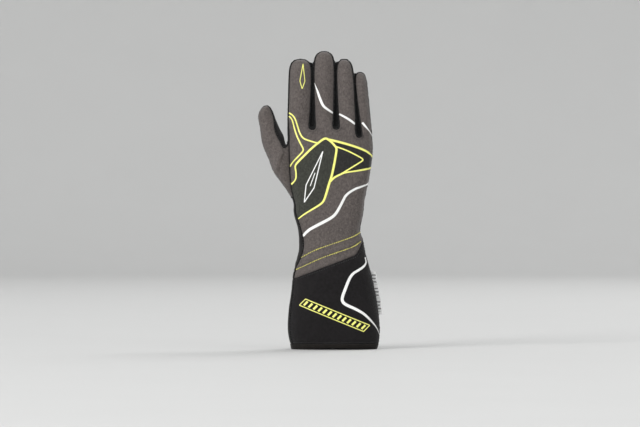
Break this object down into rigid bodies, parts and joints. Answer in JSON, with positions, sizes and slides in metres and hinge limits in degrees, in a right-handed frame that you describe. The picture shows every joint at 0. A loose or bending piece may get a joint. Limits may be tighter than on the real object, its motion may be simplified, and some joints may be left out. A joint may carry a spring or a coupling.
{
  "type": "karting glove",
  "caption": "Right-hand karting glove with a fitted grey back, a black palm, side strips between the fingers and a flared cuff over the forearm, held up as a hand fills it.",
  "frame": {"origin": "middle of the cuff's mouth, on the plane of the hem's lower edge", "axes": "+Z from the mouth to the fingertips, -Y out of the back of the hand, -X towards the thumb"},
  "size_m": [0.1343, 0.054, 0.3199],
  "materials": {
    "grey_knit": "matt stretch knit",
    "black_suede": "napped, matt",
    "black_mesh": "matt ribbed stretch cloth",
    "black_twill": "matt twill",
    "hem_tape": "matt folded cloth",
    "label_tape": "woven, slight sheen",
    "print_dark": "matt printed film on knit",
    "print_yellow": "satin raised print",
    "print_white": "satin raised print",
    "thread_yellow": "twisted thread",
    "thread_black": "twisted thread",
    "seam_edge": "matt bound edge"
  },
  "bodies": {
    "root": {"back_panel": "grey_knit", "palm_panel": "black_suede", "strip_index_middle": "black_mesh", "strip_middle_ring": "black_mesh", "strip_ring_little": "black_mesh", "thumb_back": "grey_knit", "thumb_palm": "black_suede", "gauntlet_back": "black_twill", "gauntlet_palm": "black_twill", "cuff_hem": "hem_tape", "side_label": "label_tape"}
  },
  "joints": []
}
